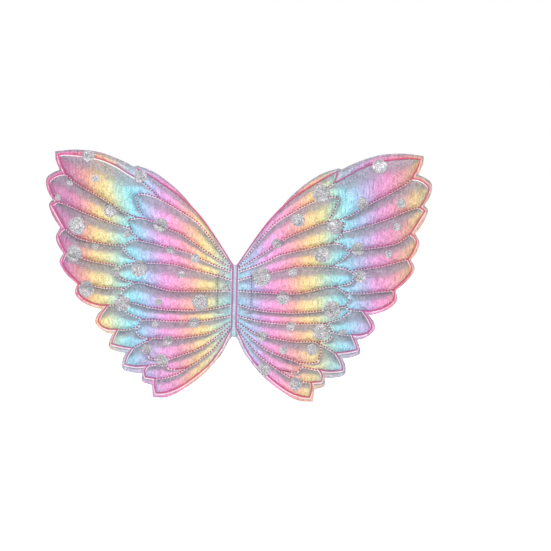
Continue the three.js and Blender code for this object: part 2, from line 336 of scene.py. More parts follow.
def cotangent_edges(points, triangles):
    """The mesh's inner edges with their cotangent weights, and the area that each point owns."""
    pairs, weights = [], []
    area = np.zeros(len(points))
    for k in range(3):
        a, b, c = (triangles[:, (k + j) % 3] for j in range(3))
        u, v = points[a] - points[c], points[b] - points[c]
        cross = np.abs(u[:, 0] * v[:, 1] - u[:, 1] * v[:, 0])
        weights.append(np.clip((u * v).sum(axis=1) / np.maximum(cross, 1e-9), 0.05, 4) / 2)
        pairs.append(np.column_stack([a, b]))
        area += np.bincount(c, cross / 6, len(points))
    return np.vstack(pairs), np.concatenate(weights), area


def filled_heights(points, triangles, held, target, reach):
    """How high a soft filling lifts the cloth: target far from the held points, 0 at them.

    target and reach, the distance over which it rises, have one value for each point.
    """
    pairs, weights, area = cotangent_edges(points, triangles)
    count = len(points)
    stiffness = weights * (reach[pairs[:, 0]] * reach[pairs[:, 1]])
    free = ~held

    def system(h):
        difference = stiffness * (h[pairs[:, 0]] - h[pairs[:, 1]])
        pull = np.bincount(pairs[:, 0], difference, count)
        pull -= np.bincount(pairs[:, 1], difference, count)
        return (area * h + pull) * free

    h = np.zeros(count)
    rest = area * target * free
    direction = rest.copy()
    size = rest @ rest
    for _ in range(400):
        turned = system(direction)
        step = size / max(direction @ turned, 1e-12)
        h += step * direction
        rest = rest - step * turned
        new_size = rest @ rest
        if new_size < 1e-10 * len(points):
            break
        direction = rest + (new_size / size) * direction
        size = new_size
    return h


# ---- The quilted face ----

PUFF_HEIGHT = 6.2
PUFF_REACH = 6.5
ARCH_HEIGHT = 6.5  # the extra rise over the widest feathers
ARCH_REACH = 16.0
PUFF_SHARPNESS = 0.8  # below 1, the cloth rises more steeply beside a seam
MARGIN_HEIGHT = 2.2
MARGIN_REACH = 2.0
MARGIN_FALL = 0.7  # how far the cut edge lies behind the outline's stitching
BAND_HALF_WIDTH = 0.95  # half the width of the outline's satin stitching
SIM_SCALE = 0.01  # Cloth works best on a garment-sized mesh: 1 mm becomes 10 mm
SIM_FRAMES = 16
CLOTH_NOISE = 0.03  # the spread of the small bumps that start the wrinkles
CLOTH_GROWTH = 0.014  # how much more cloth there is than the puffed shape needs
CLOTH_CAP = 2.2  # the most that a point moves from the puffed shape
PATCH_SEAM_REACH = 1.8  # how far from its seam the patch pulls the cloth down
PATCH_SEAM_PULL = 0.6  # and by what share of the cloth's height
OVER_PATCH = 0.7  # the share of its height that the cloth keeps over the patch
WRINKLE_SHARE = 0.3  # how much the wrinkles count in where the painted reflection turns the print silver grey
SHINE_DROP = 0.6  # the painted highlight lies this far below a seam's middle
FINE_STEP = 0.7  # spacing of the points from which distances to a seam are taken
DULL_RUNS = {-1: 1, 1: 3}  # how many of the outline's first runs have no painted highlight beside them


def add_object(name, data):
    """A new object of the scene."""
    obj = bpy.data.objects.new(name, data)
    bpy.context.scene.collection.objects.link(obj)
    return obj


def new_object(name, vertices, faces):
    """A mesh object in the frame. vertices are in millimetres."""
    mesh = bpy.data.meshes.new(name)
    corners = [[int(i) for i in face] for face in faces]
    mesh.from_pydata((np.asarray(vertices, float) * MM).tolist(), [], corners)
    mesh.polygons.foreach_set("use_smooth", [True] * len(mesh.polygons))
    mesh.update()
    return add_object(name, mesh)


def modified(obj):
    """An object's mesh as its modifiers leave it."""
    return obj.evaluated_get(bpy.context.evaluated_depsgraph_get()).to_mesh()


def vertex_rows(mesh, kind):
    """One row for each vertex, with its place if kind is "co" or its normal if it is "normal"."""
    flat = np.empty(len(mesh.vertices) * 3)
    mesh.vertices.foreach_get(kind, flat)
    return flat.reshape(-1, 3)


def relax_as_cloth(points, heights, triangles, held, seed):
    """The puffed sheet after a short cloth simulation, which wrinkles the slack cloth.

    The sheet is sewn down at the held points and has a little more cloth than it needs, with the
    filling pressing from behind. Returns 3D points in millimetres, as out, forward, up.
    """
    rng = np.random.default_rng(seed)
    start = np.column_stack([points[:, 0], -heights, points[:, 1]])
    start[~held, 1] += rng.normal(0, CLOTH_NOISE, (~held).sum())
    sheet = new_object("quilt_cloth", start * SIM_SCALE / MM, triangles)
    group = sheet.vertex_groups.new(name="sewn")
    group.add(np.flatnonzero(held).tolist(), 1.0, "REPLACE")
    cloth = sheet.modifiers.new("cloth", "CLOTH")
    settings = cloth.settings
    settings.quality = 4
    settings.mass = 0.3
    settings.tension_stiffness = 15
    settings.compression_stiffness = 6
    settings.shear_stiffness = 4
    settings.bending_stiffness = 0.25
    settings.air_damping = 4
    settings.shrink_min = -CLOTH_GROWTH
    settings.use_pressure = True
    settings.uniform_pressure_force = 1.2
    settings.vertex_group_mass = "sewn"
    settings.effector_weights.gravity = 0
    cloth.point_cache.frame_start = 1
    cloth.point_cache.frame_end = SIM_FRAMES
    for number in range(1, SIM_FRAMES + 1):
        bpy.context.scene.frame_set(number)
    moved = vertex_rows(modified(sheet), "co") / SIM_SCALE
    bpy.data.objects.remove(sheet)
    bpy.context.scene.frame_set(1)
    return start + np.clip(moved - start, -CLOTH_CAP, CLOTH_CAP)


def open_sides(faces):
    """The sides that only one face has, each as its two vertices in that face's order."""
    sides = {(a, b) for face in faces for a, b in zip(face, face[1:] + face[:1])}
    return sorted((a, b) for a, b in sides if (b, a) not in sides)


def boundary_loop(faces):
    """The vertices of the one open edge of a mesh, in order."""
    onward = dict(open_sides(faces))
    start = min(onward)
    loop = [start]
    while onward[loop[-1]] != start:
        loop.append(onward[loop[-1]])
    return loop


def thickened(faces, count):
    """An open sheet's faces, the same for its back, and walls between the two.

    The sheet has count vertices, and those of its back follow them in the same order.
    """
    behind = [[i + count for i in face[::-1]] for face in faces]
    walls = [[b, a, a + count, b + count] for a, b in open_sides(faces)]
    return faces + behind + walls


def smoothed_once(vertices, triangles):
    """The mesh after one Catmull-Clark subdivision, as vertices in millimetres and faces."""
    coarse = new_object("coarse", vertices, triangles)
    subdivision = coarse.modifiers.new("round", "SUBSURF")
    subdivision.levels = 1
    subdivision.boundary_smooth = "PRESERVE_CORNERS"
    mesh = modified(coarse)
    fine = vertex_rows(mesh, "co") / MM
    faces = [list(polygon.vertices) for polygon in mesh.polygons]
    bpy.data.objects.remove(coarse)
    return fine, faces


def loop_cap(vertices, loop):
    """Triangles that fill a closed loop of vertices, using only those vertices."""
    flat = [Vector((vertices[i][0], vertices[i][2])) for i in loop]
    count = len(loop)
    edges = [(i, (i + 1) % count) for i in range(count)]
    out = delaunay_2d_cdt(flat, edges, [], 1, 1e-5)
    return [[loop[out[3][i][0]] for i in face] for face in out[2]]


def closed_body(vertices, faces, rings):
    """Walls back from an open sheet's edge through the rings, and a cap on the last of them.

    rings is a list of functions, each giving a wall ring's Y for the edge vertices' Ys. Returns
    the vertices, the faces, and how many of the faces came from the sheet and the first wall.
    """
    loop = boundary_loop(faces)
    vertices = [tuple(v) for v in vertices]
    all_faces = list(faces)
    current = loop
    shell_faces = 0
    for number, ring in enumerate(rings):
        next_ring = []
        for i in loop:
            x, y, z = vertices[i]
            next_ring.append(len(vertices))
            vertices.append((x, ring(y), z))
        count = len(loop)
        for k in range(count):
            n = (k + 1) % count
            all_faces.append([current[n], current[k], next_ring[k], next_ring[n]])
        current = next_ring
        if number == 0:
            shell_faces = len(all_faces)
    cap = loop_cap(vertices, current)
    return vertices, all_faces + cap, shell_faces


def outward(obj):
    """Turns every face of a closed mesh outwards."""
    work = bmesh.new()
    work.from_mesh(obj.data)
    bmesh.ops.recalc_face_normals(work, faces=work.faces)
    work.to_mesh(obj.data)
    work.free()


def half_wing_mesh():
    """The flat half wing with its seams as edges, and how high its filling lifts each point."""
    edge = wing_edge(LINE_STEP)
    outline = smooth_loop(OUTLINE_SEAM, LINE_STEP)
    closed = rejoined(outline)
    bands = [closed, beside(closed, BAND_HALF_WIDTH), beside(closed, -BAND_HALF_WIDTH)]
    points, triangles, sewn = flat_mesh(edge, bands + feather_seams(LINE_STEP), FACE_SPACING)
    inside = inside_loop(points, outline)
    to_edge = nearest_distances(points, edge)
    flattened = sewn | (to_edge < 0.1)
    target = np.where(inside, PUFF_HEIGHT, MARGIN_HEIGHT)
    reach = np.where(inside, PUFF_REACH, MARGIN_REACH)
    heights = filled_heights(points, triangles, flattened, target, reach)
    heights = target * (heights / target) ** PUFF_SHARPNESS
    arch = np.where(inside, ARCH_HEIGHT, 0)
    heights += filled_heights(points, triangles, flattened, arch, np.full(len(points), ARCH_REACH))
    heights *= 1 - PATCH_SEAM_PULL * closeness(points, smooth_line(PATCH_SEAM, 1), PATCH_SEAM_REACH)
    over_patch = (points[:, 0] < PATCH_SEAM[0][0]) & (np.abs(points[:, 1]) < PATCH_TOP + 2)
    heights *= np.where(over_patch, OVER_PATCH, 1.0)
    to_outline = nearest_distances(points, outline)
    outwards = to_outline / (to_outline + to_edge + 1e-6)
    heights -= np.where(inside, 0, MARGIN_FALL * outwards ** 2)
    return points, triangles, heights, sewn | ~inside


def closed_face(name, side, puffed, triangles):
    """The face's cloth rounded off, with a turned fabric edge and the foam behind it."""
    sheet = np.column_stack([side * puffed[:, 0], SEAM_LEVEL + puffed[:, 1], puffed[:, 2]])
    fine, faces = smoothed_once(sheet, triangles)
    fabric_edge = [lambda y: y + FABRIC_THICKNESS, lambda y: FOAM_BACK]
    vertices, faces, shell = closed_body(fine, faces, fabric_edge)
    piece = new_object(name, vertices, faces)
    piece.data.materials.append(face_fabric())
    piece.data.materials.append(foam())
    indices = [0 if i < shell else 1 for i in range(len(piece.data.polygons))]
    piece.data.polygons.foreach_set("material_index", indices)
    outward(piece)
    return piece


def mark(piece, name, values):
    """Gives each vertex a number for the material to read."""
    piece.data.attributes.new(name, "FLOAT", "POINT").data.foreach_set("value", values)


def quilted_face(name, side, seed):
    """One wing's face fabric over its foam, marked with its slopes and its distance below the seams,
    for the painted reflection and the painted highlight.
    """
    points, triangles, heights, held = half_wing
    plain = np.column_stack([points[:, 0], -heights, points[:, 1]])
    smooth = closed_face("unwrinkled", side, plain, triangles)
    slopes = vertex_rows(smooth.data, "normal")[:, 2]
    bpy.data.objects.remove(smooth)
    puffed = relax_as_cloth(points, heights, triangles, held, seed)
    piece = closed_face(name, side, puffed, triangles)
    wrinkled = vertex_rows(piece.data, "normal")[:, 2]
    # lean, the upward share of each normal, is what the material turns into painted silver reflection
    mark(piece, "lean", slopes + WRINKLE_SHARE * (wrinkled - slopes))
    places = vertex_rows(piece.data, "co")[:, (0, 2)] * (side, 1) / MM
    painted_highlight_runs = smooth_loop(OUTLINE_SEAM[DULL_RUNS[side]:], FINE_STEP)
    beside_band = [beside(painted_highlight_runs, BAND_HALF_WIDTH), beside(painted_highlight_runs, -BAND_HALF_WIDTH)]
    seams = np.vstack(feather_seams(FINE_STEP) + beside_band)
    # below_seam is where the material paints a highlight, just below each seam
    mark(piece, "below_seam", nearest_distances(places + (0, SHINE_DROP), seams))
    mark(piece, "margin", 1.0 - inside_loop(places, smooth_loop(OUTLINE_SEAM, FINE_STEP)))
    return piece


# ---- Materials ----


class Nodes:
    """A short way to build the nodes of a material, or of the world."""

    def __init__(self, owner):
        self.owner = owner
        owner.use_nodes = True
        self.tree = owner.node_tree

    def named(self, name):
        return self.tree.nodes[name]

    def add(self, kind, **settings):
        node = self.tree.nodes.new(kind)
        for key, value in settings.items():
            setattr(node, key, value)
        return node

    def put(self, node, **values):
        """Gives sockets their values, where _ stands for a space in a socket's name."""
        for key, value in values.items():
            self.fill(node.inputs[key.replace("_", " ")], value)

    def fill(self, socket, value):
        """Gives a socket a number, a colour or another node's output."""
        if isinstance(value, (int, float)):
            socket.default_value = value
        elif isinstance(value, tuple):
            socket.default_value = (*value, 1)
        else:
            self.tree.links.new(value, socket)

    def place(self, kind="Object"):
        return self.add("ShaderNodeTexCoord").outputs[kind]

    def axis(self, vector, name):
        node = self.add("ShaderNodeSeparateXYZ")
        self.fill(node.inputs[0], vector)
        return node.outputs[name]

    def stretched(self, vector, scale):
        node = self.add("ShaderNodeMapping")
        node.inputs["Scale"].default_value = scale
        self.put(node, Vector=vector)
        return node.outputs["Vector"]

    def noise(self, vector, scale, detail=2, roughness=0.5):
        node = self.add("ShaderNodeTexNoise")
        self.put(node, Vector=vector, Scale=scale, Detail=detail, Roughness=roughness)
        return node.outputs["Fac"]

    def math(self, operation, a, b=0.0):
        node = self.add("ShaderNodeMath", operation=operation)
        self.fill(node.inputs[0], a)
        self.fill(node.inputs[1], b)
        return node.outputs[0]

    def span(self, value, low, high, to_low=0.0, to_high=1.0):
        node = self.add("ShaderNodeMapRange", interpolation_type="SMOOTHSTEP")
        self.put(node, Value=value, From_Min=low, From_Max=high, To_Min=to_low, To_Max=to_high)
        return node.outputs["Result"]

    def ramp(self, value, stops):
        node = self.add("ShaderNodeValToRGB")
        elements = node.color_ramp.elements
        while len(elements) < len(stops):
            elements.new(0.5)
        for element, (at, colour) in zip(elements, stops):
            element.position = at
            element.color = (*colour, 1)
        self.put(node, Fac=value)
        return node.outputs["Color"]

    def mix(self, share, first, second, blend="MIX"):
        node = self.add("ShaderNodeMix", data_type="RGBA", blend_type=blend)
        for socket, value in ((0, share), (6, first), (7, second)):
            self.fill(node.inputs[socket], value)
        return node.outputs[2]

    def bump(self, heights, distance):
        node = self.add("ShaderNodeBump")
        self.put(node, Height=heights, Distance=distance)
        return node

    def finish(self, colour, roughness, bump, metallic=0.0, sheen=0.0):
        self.put(self.named("Principled BSDF"), Base_Color=colour, Roughness=roughness,
                 Metallic=metallic, Sheen_Weight=sheen, Normal=bump.outputs["Normal"])
        return self.owner


def new_material(name):
    return Nodes(bpy.data.materials.new(name))


def linear(red, green, blue):
    """A colour given in 0 to 255 display values, as the linear values that shaders use."""
    return tuple(
        c / 12.92 if c <= 0.04045 else ((c + 0.055) / 1.055) ** 2.4
        for c in (red / 255, green / 255, blue / 255)
    )


RAINBOW_PERIOD = 0.1225  # metres along the span for one run of the printed colours
RAINBOW_START = -0.0758  # where one run of the colours starts, at pink
LEFT_PINK = -0.2015  # the print stays pink beyond here
RAINBOW = [
    (0.00, linear(248, 168, 218)),
    (0.10, linear(246, 168, 196)),
    (0.20, linear(246, 182, 170)),
    (0.31, linear(248, 216, 156)),
    (0.41, linear(232, 222, 168)),
    (0.51, linear(190, 224, 206)),
    (0.62, linear(160, 228, 240)),
    (0.72, linear(168, 214, 242)),
    (0.84, linear(200, 186, 232)),
    (0.93, linear(236, 170, 224)),
    (1.00, linear(248, 168, 218)),
]


THREAD_COLOURS = [
    (0.00, linear(206, 84, 142)),
    (0.20, linear(208, 88, 112)),
    (0.33, linear(204, 94, 106)),
    (0.50, linear(180, 98, 138)),
    (0.65, linear(172, 104, 156)),
    (0.84, linear(188, 92, 152)),
    (1.00, linear(206, 84, 142)),
]


def rainbow(nodes, place, colours=RAINBOW):
    """The print's colour: bands that repeat along the span."""
    wander = nodes.noise(place, 16, detail=1)
    wandered = nodes.span(wander, 0.25, 0.75, -0.004, 0.004)
    along = nodes.math("ADD", nodes.axis(place, "X"), wandered)
    shifted = nodes.math("SUBTRACT", nodes.math("MAXIMUM", along, LEFT_PINK), RAINBOW_START)
    runs = nodes.math("DIVIDE", shifted, RAINBOW_PERIOD)
    return nodes.ramp(nodes.math("FRACT", runs), colours)


def greys(low, high, at=0.14):
    """Stops for a ramp over a noise, from one brightness to another about its middle."""
    return [(0.5 - at, (low,) * 3), (0.5 + at, (high,) * 3)]


def dulled_print(nodes, place):
    """The print, duller at the tips and beside the spine, and greyed towards the foot by painted
    shade.
    """
    along = nodes.axis(place, "X")
    left_tip = nodes.span(along, -0.22, -0.14, 0.9, 0)
    right_tip = nodes.span(along, 0.08, 0.2, 0, 0.24)
    # Painted shade: the lower wing is greyed towards the foot, standing in for its wider grey
    # reflections
    foot = nodes.span(nodes.math("MULTIPLY", nodes.axis(place, "Z"), -1), 0.03, 0.09, 0, 0.2)
    spine = nodes.span(nodes.math("ABSOLUTE", along), 0.012, 0.03, 0.2, 0)
    colour = nodes.mix(left_tip, rainbow(nodes, place), linear(192, 192, 188), blend="MULTIPLY")
    colour = nodes.mix(right_tip, colour, linear(164, 136, 150))
    colour = nodes.mix(foot, colour, linear(164, 158, 172))
    return nodes.mix(spine, colour, linear(170, 132, 150))


@cache
def face_fabric():
    """Iridescent satin: bright printed colour that fades to silver grey where it leans upwards.

    The silver grey is partly the satin's own sheen and partly painted reflection of the darker space
    above. Just below each seam the cloth gets a painted highlight, standing in for an overhead lamp's
    glint. The print is pinker outside the outline's stitching.
    """
    nodes = new_material("iridescent_satin")
    place = nodes.place()
    lean, below_seam, margin = (
        nodes.add("ShaderNodeAttribute", attribute_name=name).outputs["Fac"]
        for name in ("lean", "below_seam", "margin")
    )
    pinker = nodes.math("MULTIPLY", margin, 0.35)
    colour = nodes.mix(pinker, dulled_print(nodes, place), linear(226, 138, 168))
    streaks = nodes.noise(nodes.stretched(place, (1, 1, 0.14)), 480, detail=2, roughness=0.6)
    grain = nodes.noise(place, 760, detail=2, roughness=0.7)
    # Painted reflection: cloth that leans upwards turns silver grey, standing in for the darker space
    # above mirrored in the satin; the metallic shader adds real reflection on top
    ragged = nodes.math("ADD", lean, nodes.span(streaks, 0.3, 0.7, -0.13, 0.13))
    silver = nodes.span(ragged, -0.08, 0.32, 0, 0.95)
    grey = nodes.mix(0.15, linear(160, 156, 168), colour)
    tinted = nodes.mix(silver, colour, grey)
    streaked = nodes.mix(0.52, tinted, nodes.ramp(streaks, greys(0.45, 1.12)), blend="MULTIPLY")
    grained = nodes.mix(0.62, streaked, nodes.ramp(grain, greys(0.45, 1.12)), blend="MULTIPLY")
    # Painted highlight: a pale, less metallic line just below each seam on up-facing cloth, standing
    # in for an overhead lamp's glint
    painted_highlight_mask = nodes.math("MULTIPLY", nodes.span(below_seam, 0.35, 1.1, 1, 0),
                       nodes.span(lean, -0.12, 0.15, 0, 0.95))
    painted_highlight_colour = nodes.mix(0.25, linear(255, 242, 245), colour)
    lit = nodes.mix(painted_highlight_mask, grained, painted_highlight_colour)
    rough = nodes.math("ADD", nodes.span(grain, 0.3, 0.7, 0.34, 0.5),
                       nodes.math("MULTIPLY", silver, 0.25))
    metal = nodes.span(painted_highlight_mask, 0, 0.9, 0.72, 0.1)
    bump = nodes.bump(grain, 0.0005)
    nodes.put(bump, Normal=nodes.bump(streaks, 0.0014).outputs["Normal"])
    return nodes.finish(lit, rough, bump, metallic=metal)


def fine_grained(name, scale, dark, light, roughness, relief, detail=2, sheen=0.0):
    """A plain material with a fine grain of two colours. The grain stands out by relief metres."""
    nodes = new_material(name)
    grain = nodes.noise(nodes.place(), scale, detail=detail)
    colour = nodes.ramp(grain, [(0.3, linear(*dark)), (0.7, linear(*light))])
    return nodes.finish(colour, roughness, nodes.bump(grain, relief), sheen=sheen)


@cache
def foam():
    return fine_grained("soft_foam", 1400, (214, 206, 208), (246, 242, 243), 0.95, 0.0004)


@cache
def grey_thread():
    return fine_grained("grey_thread", 2600, (70, 66, 92), (112, 106, 132), 0.5, 0.0003, detail=1)


@cache
def elastic():
    return fine_grained("woven_elastic", 1800, (190, 188, 196), (226, 224, 230), 0.8, 0.0004,
                        sheen=0.2)


@cache
def felt():
    nodes = new_material("white_felt")
    place = nodes.place()
    fibres = nodes.noise(place, 900, detail=4, roughness=0.7)
    clouds = nodes.ramp(nodes.noise(place, 45, detail=2), [(0.3, (0.86,) * 3), (0.7, (1.0,) * 3)])
    colour = nodes.ramp(fibres, [(0.25, linear(196, 188, 194)), (0.75, linear(238, 232, 236))])
    colour = nodes.mix(0.3, colour, clouds, blend="MULTIPLY")
    return nodes.finish(colour, 0.95, nodes.bump(fibres, 0.0006), sheen=0.3)


def dyed_thread(name, dark, bright, tint=linear(255, 255, 255), tinted=0.0):
    """Shiny pink thread that takes on some of the colour beside it, and is mauve over blue."""
    nodes = new_material(name)
    place = nodes.place()
    strands = nodes.noise(place, 2200, detail=1)
    dyed = nodes.mix(tinted, rainbow(nodes, place, THREAD_COLOURS), tint)
    colour = nodes.mix(1.0, dyed, nodes.ramp(strands, greys(dark, bright)), blend="MULTIPLY")
    return nodes.finish(colour, 0.42, nodes.bump(strands, 0.0003), sheen=0.2)


@cache
def pink_thread():
    return dyed_thread("pink_thread", 0.55, 1.1)


@cache
def stitch_thread():
    return dyed_thread("stitch_thread", 0.34, 0.82)


@cache
def bobbin_thread():
    """The lower thread of the same seams, which shows on the felt."""
    return dyed_thread("bobbin_thread", 0.8, 1.0, linear(236, 160, 192), 0.7)


@cache
def silver_glitter():
    """Flakes of silver foil that each face a little differently."""
    nodes = new_material("silver_glitter")
    flakes = nodes.add("ShaderNodeTexVoronoi", feature="F1")
    nodes.put(flakes, Vector=nodes.place(), Scale=1250)
    random = flakes.outputs["Color"]
    colour = nodes.ramp(nodes.axis(random, "X"), [
        (0.0, linear(112, 116, 118)),
        (0.3, linear(154, 154, 158)),
        (0.75, linear(180, 177, 182)),
        (0.95, linear(226, 222, 226)),
    ])
    rough = nodes.span(nodes.axis(random, "Y"), 0, 1, 0.4, 0.7)
    return nodes.finish(colour, rough, nodes.bump(nodes.axis(random, "Z"), 0.0004), metallic=0.4)


# ---- Threads, dots, felt and straps ----


class Surface:
    """The front of some pieces, to lay threads and dots on."""

    def __init__(self, *objects):
        vertices = []
        polygons = []
        for obj in objects:
            start = len(vertices)
            vertices += [vertex.co / MM for vertex in obj.data.vertices]
            polygons += [[start + i for i in face.vertices] for face in obj.data.polygons]
        self.tree = BVHTree.FromPolygons(vertices, polygons)

    def front(self, x, z):
        """The surface's Y at a place, or None beside the surface."""
        hit = self.tree.ray_cast(Vector((x, -100, z)), Vector((0, 1, 0)))
        return hit[0].y if hit[0] else None


def joined(name, parts, material):
    """One object from several lists of vertices and faces."""
    vertices = []
    faces = []
    for part_vertices, part_faces in parts:
        start = len(vertices)
        vertices += list(part_vertices)
        faces += [[start + i for i in face] for face in part_faces]
    obj = new_object(name, vertices, faces)
    obj.data.materials.append(material)
    outward(obj)
    return obj


def skin(rings, closed=False):
    """A tube of quads through equal rings of vertices, with its ends filled if it isn't closed."""
    size = len(rings[0])
    count = len(rings)
    vertices = [tuple(v) for ring in rings for v in ring]
    faces = []
    for r in range(count if closed else count - 1):
        for k in range(size):
            here = r * size
            there = ((r + 1) % count) * size
            n = (k + 1) % size
            faces.append([here + k, here + n, there + n, there + k])
    if not closed:
        faces.append(list(range(size))[::-1])
        faces.append([(count - 1) * size + k for k in range(size)])
    return vertices, faces


BAND_HEIGHT = 0.75
BOBBIN_BAND_HEIGHT = 0.35
SPINE_BAND_WIDENING = 1.25  # the stitching is wider beside the spine
BAND_PITCH = 0.45  # from one ridge or groove of the satin stitching to the next
BAND_SLANT = 0.35
BAND_SINK = 0.35  # how far the band's underside lies in the cloth
BAND_UNDERSIDE = 0.7  # half its width there
GROOVE_HEIGHT = 0.84  # a groove's height and width, as shares of a ridge's
GROOVE_WIDTH = 0.95
ARC_STEPS = 8


def satin_band(line, side, level_at, forward=-1, height=BAND_HEIGHT, closed=True):
    """A band of satin stitching that stands on the fabric, with a ridge for each stitch.

    level_at gives the cloth's Y, and forward is the way that the band stands out of it.
    """
    if closed:
        line = resampled(rejoined(line), BAND_PITCH)[:-1]
    else:
        line = resampled(line, BAND_PITCH)
    level = SEAM_LEVEL
    rings = []
    for i, ((x, z), (tx, tz)) in enumerate(zip(line, directions(line, closed))):
        found = level_at(side * x, z)
        level = level if found is None else found
        fullness, spread = (1, 1) if i % 2 else (GROOVE_HEIGHT, GROOVE_WIDTH)
        half_width = BAND_HALF_WIDTH * (SPINE_BAND_WIDENING if x < SPINE_SEAM_X + 0.5 else 1)
        ring = []
        for step in range(ARC_STEPS + 1):
            angle = math.pi * step / ARC_STEPS
            out = half_width * math.cos(angle) * spread
            lift = 0.05 + height * math.sin(angle) ** 0.8 * fullness
            slide = BAND_SLANT * math.cos(angle)
            ring.append((side * (x - tz * out + tx * slide), level + forward * lift,
                         z + tx * out + tz * slide))
        for out in (-BAND_UNDERSIDE, BAND_UNDERSIDE):
            ring.append((side * (x - tz * out), level - BAND_SINK * forward, z + tx * out))
        rings.append(ring)
    return skin(rings, closed)


SEAM_STEP = 1.0  # spacing of points along a line that is to be stitched
STITCH_PITCH = 3.4  # from one running stitch to the next
STITCH_LENGTH = 2.5
STITCH_SIZE = (1.1, 0.75)  # a stitch's half width and height
BOBBIN_STITCH_SIZE = (0.45, 0.25)
PATCH_STITCH_SIZE = (0.4, 0.32)
PATCH_SEAM_STITCH_SIZE = (0.6, 0.35)
PATCH_SEAM_STITCH_LENGTH = 3
STITCH_SIDES = 8
# Each step along a stitch: its place as a share of the length, its fullness, and how far it dips.
STITCH_PROFILE = [(-0.5, 0.3, 0.35), (-0.38, 0.8, 0.1), (0, 1, 0), (0.38, 0.8, 0.1), (0.5, 0.3, 0.35)]


def running_stitches(line, side, level_at, size=STITCH_SIZE, forward=-1, length=STITCH_LENGTH,
                     under=()):
    """Short stitches along a line, each one a rounded dash that dips into the cloth at its ends.

    level_at gives the cloth's Y, and forward is the way that the stitches stand out of it. The
    dots in under hide the stitches that they cover.
    """
    half_width, height = size
    parts = []
    fine = resampled(line, STITCH_PITCH / 4)
    for i in range(2, len(fine) - 2, 4):
        x, z = fine[i]
        if any(math.hypot(x - dot_x, z - dot_z) < radius for dot_x, dot_z, radius in under):
            continue
        tx, tz = directions(fine[i - 1:i + 2])[1]
        rings = []
        for place, fullness, dip in STITCH_PROFILE:
            cx = x + tx * place * length
            cz = z + tz * place * length
            level = level_at(side * cx, cz)
            if level is None:
                break
            level -= forward * dip
            ring = []
            for k in range(STITCH_SIDES):
                angle = 2 * math.pi * k / STITCH_SIDES
                out = half_width * fullness * math.cos(angle)
                lift = 0.1 + height * fullness * math.sin(angle)
                ring.append((side * (cx - tz * out), level + forward * lift, cz + tx * out))
            rings.append(ring)
        if len(rings) == len(STITCH_PROFILE):
            parts.append(skin(rings))
    return parts


# Each dot is (out from the spine, up, radius).
DOTS = {
    "left": [
        (174, 153, 7.5), (163, 126, 4.5), (194, 121, 3.5), (209, 104, 4), (146, 89, 7.5),
        (185, 71, 10.5), (126, 62, 4), (163, 48, 4), (188, 39, 9.5), (112, 130, 7.5), (87, 74, 8),
        (75, 45, 4.5), (46, 36, 5.5), (111, 23, 9.5), (139, 17, 4.5), (61, 17, 4), (173, -2, 9.5),
        (130, -18, 9), (87, -15, 4), (39, -15, 9.5), (10, 3, 4.5), (14, 20, 4), (46, -38, 6),
        (91, -41, 4), (76, -60, 5.5), (83, -83, 7.5), (100, -70, 6),
    ],
    "right": [
        (164, 145, 8.5), (98, 113, 10), (146, 102, 6.5), (189, 103, 5.5), (72, 82, 7.5),
        (114, 75, 9), (48, 55, 5.5), (185, 76, 4.5), (141, 50, 7.5), (176, 45, 4.5), (100, 43, 9),
        (31, 16, 11), (67, 22, 5.5), (144, 19, 7), (56, -8, 7.5), (113, -20, 10), (66, -40, 5),
        (100, -46, 9), (125, -46, 4), (33, -52, 6), (91, -66, 6.5), (58, -68, 4.5), (35, -91, 8),
        (73, -106, 7.5),
    ],
}
DOT_RINGS = 9
DOT_SPOKES = 40
DOT_RAGGEDNESS = 0.03
DOT_THICKNESS = (0.12, 0.24)  # how far its flakes stand out of the cloth
DOT_SINK = 0.12  # how far its back lies in the cloth


def glitter_dot(x, z, radius, side, surface, rng):
    """One printed dot of foil flakes that follows the cloth, with a slightly ragged edge."""
    ragged = 1 + rng.normal(0, DOT_RAGGEDNESS, DOT_SPOKES)
    rows = [[(x, z)]]
    for r in range(1, DOT_RINGS + 1):
        reach = radius * r / DOT_RINGS
        rows.append([
            (x + reach * ragged[k] * math.cos(2 * math.pi * k / DOT_SPOKES),
             z + reach * ragged[k] * math.sin(2 * math.pi * k / DOT_SPOKES))
            for k in range(DOT_SPOKES)
        ])
    flat = [place for row in rows for place in row]
    levels = [surface.front(side * px, pz) for px, pz in flat]
    thick = [rng.uniform(*DOT_THICKNESS) for _ in flat]
    vertices = [(side * px, (level or 0) - t, pz) for (px, pz), level, t in zip(flat, levels, thick)]
    vertices += [(side * px, (level or 0) + DOT_SINK, pz) for (px, pz), level in zip(flat, levels)]
    front = []
    for k in range(DOT_SPOKES):
        n = (k + 1) % DOT_SPOKES
        front.append([0, 1 + k, 1 + n])
        for r in range(1, DOT_RINGS):
            inner = 1 + (r - 1) * DOT_SPOKES
            outer = inner + DOT_SPOKES
            front.append([inner + k, outer + k, outer + n, inner + n])
    on_cloth = [face for face in front if all(levels[i] is not None for i in face)]
    faces = thickened(on_cloth, len(flat))
    used = sorted({i for face in faces for i in face})
    place = {old: new for new, old in enumerate(used)}
    return [vertices[i] for i in used], [[place[i] for i in face] for face in faces]


def thin_sheet(name, side, points, triangles, front, back, material):
    """A closed sheet between a front and a back level, given for each flat point."""
    vertices = [(side * x, y, z) for (x, z), y in zip(points, front)]
    vertices += [(side * x, y, z) for (x, z), y in zip(points, back)]
    faces = thickened([list(face) for face in triangles], len(points))
    return joined(name, [(vertices, faces)], material)


def flat_area(points, triangles):
    """The area of a flat mesh in square metres."""
    a, b, c = (points[triangles[:, k]] for k in range(3))
    u, v = b - a, c - a
    return float(np.abs(u[:, 0] * v[:, 1] - u[:, 1] * v[:, 0]).sum() / 2) * MM * MM


FELT_DIMPLE = 0.35
FELT_DIMPLE_REACH = 1.6
FELT_SPACING = 2.6
BOBBIN_START = 3.2 * HINGE_X  # nearer the spine the felt bends, so no stitches are modelled


def clear_of_spine(line):
    """The points of a seam where its lower thread is modelled."""
    return line[line[:, 0] > BOBBIN_START]


def felt_back(_x, _z):
    """The level of the felt's back where a seam pulls it in."""
    return BACKING_BACK - FELT_DIMPLE


